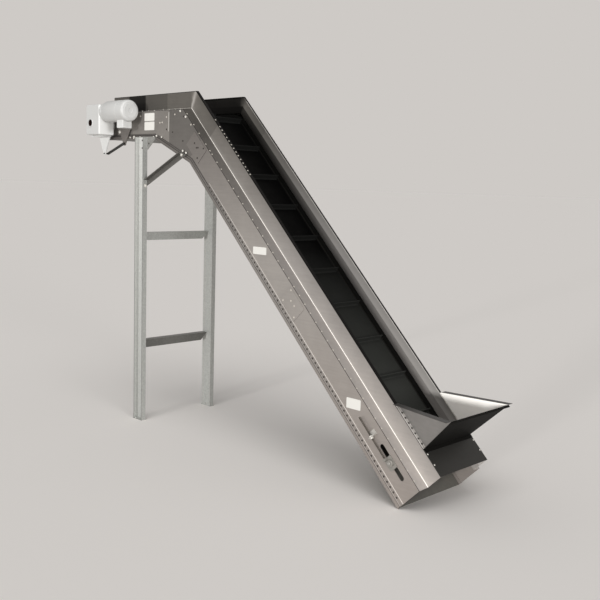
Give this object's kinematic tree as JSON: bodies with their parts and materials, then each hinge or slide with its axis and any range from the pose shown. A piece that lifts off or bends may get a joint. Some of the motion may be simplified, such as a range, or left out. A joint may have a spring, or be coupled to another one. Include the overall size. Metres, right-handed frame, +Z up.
{
  "type": "noseover conveyor",
  "caption": "Noseover conveyor with a cleated belt climbing an inclined trough to a level discharge end, on channel legs, with a feed hopper and a side drive.",
  "frame": {"origin": "underside of the near leg's foot plate, at its centre, on the floor", "axes": "+X from the discharge end to the tail along the floor, +Y across to the far side, +Z up"},
  "size_m": [3.6252, 0.9238, 2.6484],
  "materials": {
    "sheet_steel": "satin",
    "galvanised_steel": "matte",
    "dark_steel": "satin",
    "belt_rubber": "matte",
    "white_paint": "satin",
    "bright_steel": "satin"
  },
  "bodies": {
    "root": {"near_head_side": "sheet_steel", "near_incline_side_upper": "sheet_steel", "near_incline_side_lower": "sheet_steel", "near_nose_splice": "sheet_steel", "near_mid_splice": "sheet_steel", "near_head_skirt": "sheet_steel", "near_nose_skirt": "sheet_steel", "near_incline_skirt": "sheet_steel", "near_nose_rail": "sheet_steel", "near_incline_rail": "sheet_steel", "near_hopper_wing": "sheet_steel", "near_leg": "galvanised_steel", "near_leg_gusset": "galvanised_steel", "near_knee_brace": "galvanised_steel", "near_takeup_slide": "bright_steel", "near_takeup_bracket": "bright_steel", "near_takeup_screw": "bright_steel", "near_head_bearing": "white_paint", "far_head_side": "sheet_steel", "far_incline_side_upper": "sheet_steel", "far_incline_side_lower": "sheet_steel", "far_nose_splice": "sheet_steel", "far_mid_splice": "sheet_steel", "far_head_skirt": "sheet_steel", "far_nose_skirt": "sheet_steel", "far_incline_skirt": "sheet_steel", "far_nose_rail": "sheet_steel", "far_incline_rail": "sheet_steel", "far_hopper_wing": "sheet_steel", "far_leg": "galvanised_steel", "far_leg_gusset": "galvanised_steel", "far_knee_brace": "galvanised_steel", "far_takeup_slide": "bright_steel", "far_takeup_bracket": "bright_steel", "far_takeup_screw": "bright_steel", "far_head_bearing": "white_paint", "slider_bed": "sheet_steel", "return_pan": "sheet_steel", "cleated_belt": "belt_rubber", "head_pulley": "bright_steel", "tail_pulley": "bright_steel", "gear_reducer": "white_paint", "drive_motor": "white_paint", "conduit_box": "white_paint", "torque_arm": "white_paint", "torque_rod": "dark_steel", "torque_bracket": "sheet_steel", "upper_cross_brace": "galvanised_steel", "lower_cross_brace": "galvanised_steel", "hopper_front": "dark_steel", "tail_cover": "dark_steel"}
  },
  "joints": []
}
